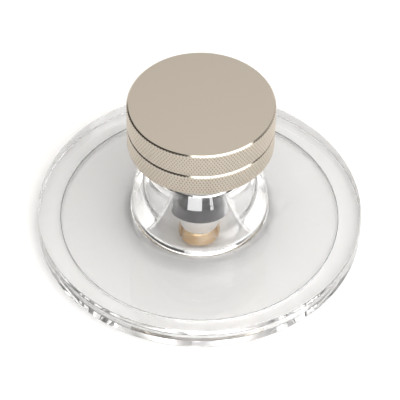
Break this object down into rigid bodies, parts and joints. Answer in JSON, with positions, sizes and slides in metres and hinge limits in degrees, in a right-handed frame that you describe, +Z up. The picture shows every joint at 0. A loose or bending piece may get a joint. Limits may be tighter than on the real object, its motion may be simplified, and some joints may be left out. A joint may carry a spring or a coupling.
{
  "type": "record weight clamp",
  "caption": "Clear disc and domed hub with a knurled knob that draws a split collet into a closing sleeve, to clamp a record on a turntable's spindle.",
  "frame": {"origin": "on the clamp's axis, in the plane of the ring that rests on the record's label", "axes": "+Z up along the axis, from the record towards the knob; -Y is the side that faces the camera"},
  "size_m": [0.1, 0.1, 0.0516],
  "materials": {
    "clear_acrylic": "polished, clear",
    "polished_chrome": "dark plate, polished, with a bright ground taper",
    "turned_brass": "turned",
    "ground_steel": "ground",
    "satin_nickel": "satin plated, knurled grip"
  },
  "bodies": {
    "clamp": {"clamp_body": "clear_acrylic", "closing_sleeve": "polished_chrome", "key_pin": "ground_steel", "thrust_washer": "ground_steel"},
    "knob": {"knob": "satin_nickel"},
    "collet": {"collet": "turned_brass"}
  },
  "joints": [
    {"name": "knob_turn", "type": "hinge", "parent": "clamp", "child": "knob", "pos_m": [0, 0, 0.04], "axis": [0, 0, 1], "range_deg": [-360, 0]},
    {"name": "collet_draw", "type": "slide", "parent": "clamp", "child": "collet", "axis": [0, 0, 1], "range_m": [0, 0.001]}
  ],
  "couplings": [
    {"joint": "collet_draw", "follows": "knob_turn", "m_per_rad": -0.00015915}
  ]
}
